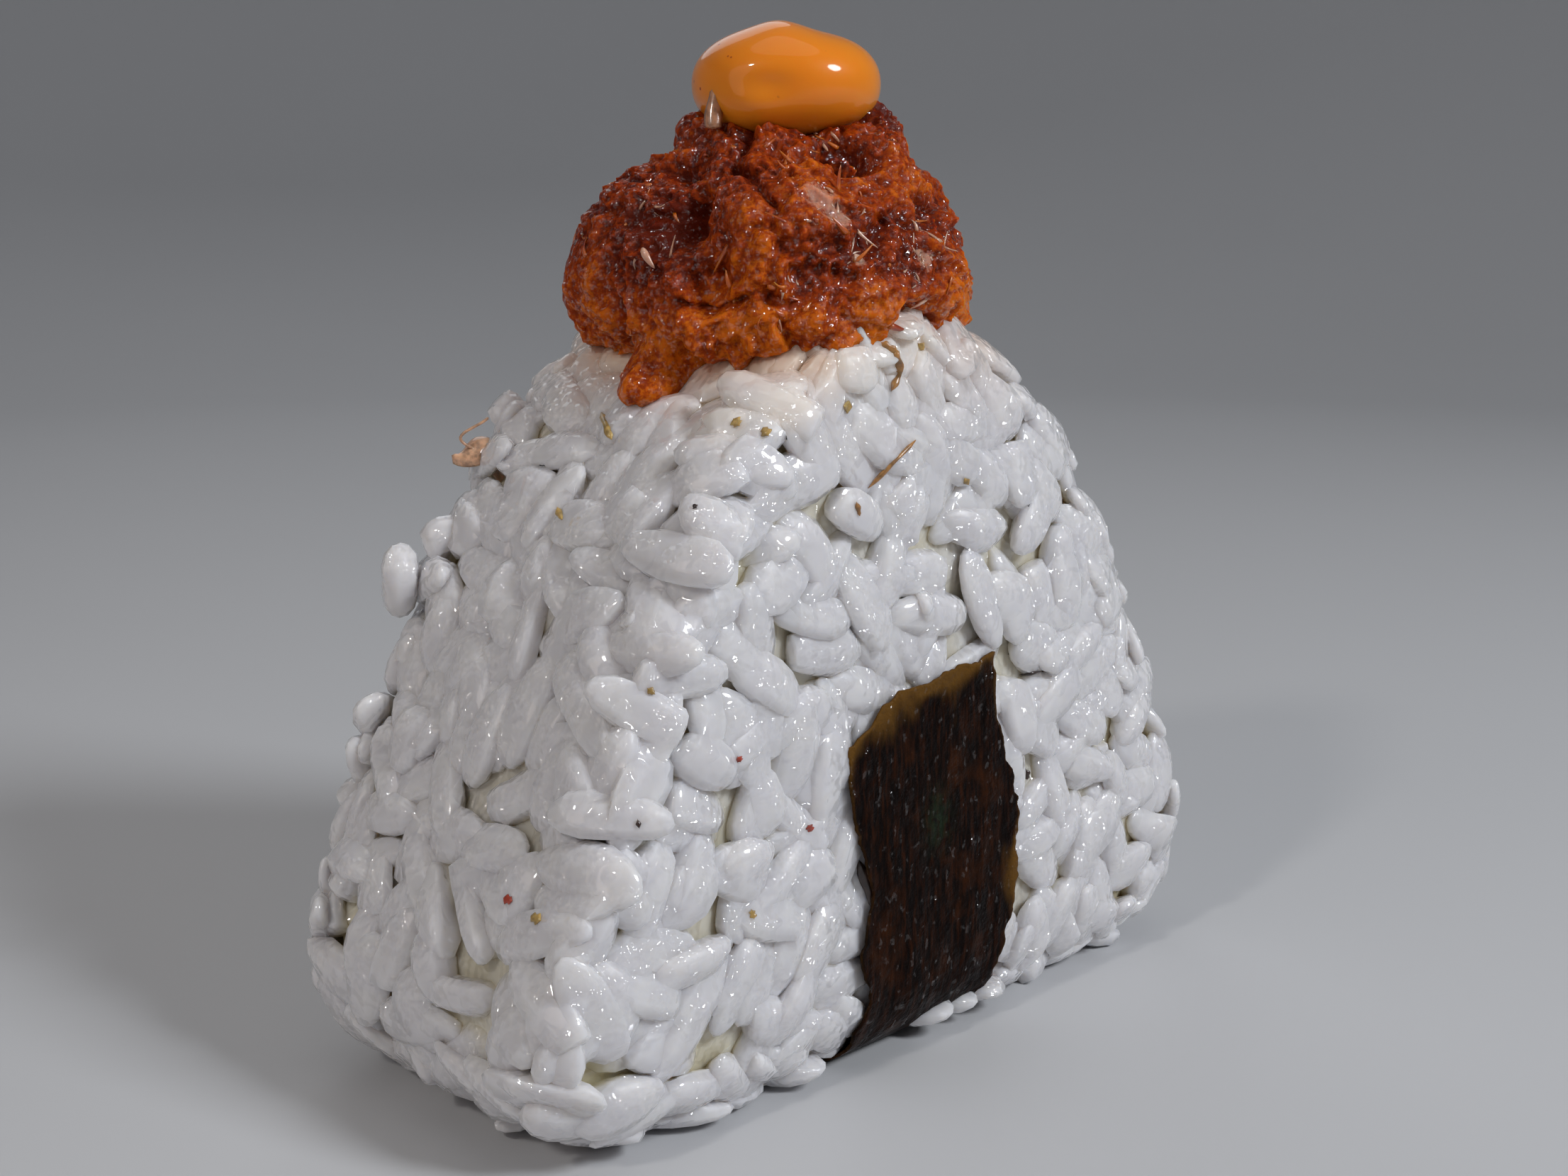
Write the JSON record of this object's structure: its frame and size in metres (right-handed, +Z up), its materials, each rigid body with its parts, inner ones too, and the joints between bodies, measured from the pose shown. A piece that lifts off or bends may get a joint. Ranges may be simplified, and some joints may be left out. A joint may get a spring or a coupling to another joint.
{
  "type": "spicy tuna onigiri",
  "caption": "Pressed triangle of cooked rice standing on its base, with a seaweed strip round its middle, a mound of spicy minced tuna on top and a drop of orange sauce.",
  "frame": {"origin": "middle of the base, on the surface that it stands on", "axes": "+Z up, X along the triangle's width, Y through its thickness; the front face, with the sauce's shoulder to its right, looks along -Y"},
  "size_m": [0.0714, 0.0339, 0.0754],
  "materials": {
    "rice": "cooked rice grains, moist and slightly translucent",
    "seaweed": "roasted seaweed sheet, dark and fibrous with a faint gloss",
    "tuna": "minced fish in a red-orange sauce, wet",
    "sauce": "smooth glossy orange sauce"
  },
  "bodies": {
    "root": {"rice": "rice", "seaweed_strip": "seaweed", "tuna_mound": "tuna", "sauce_drop": "sauce"}
  },
  "joints": []
}
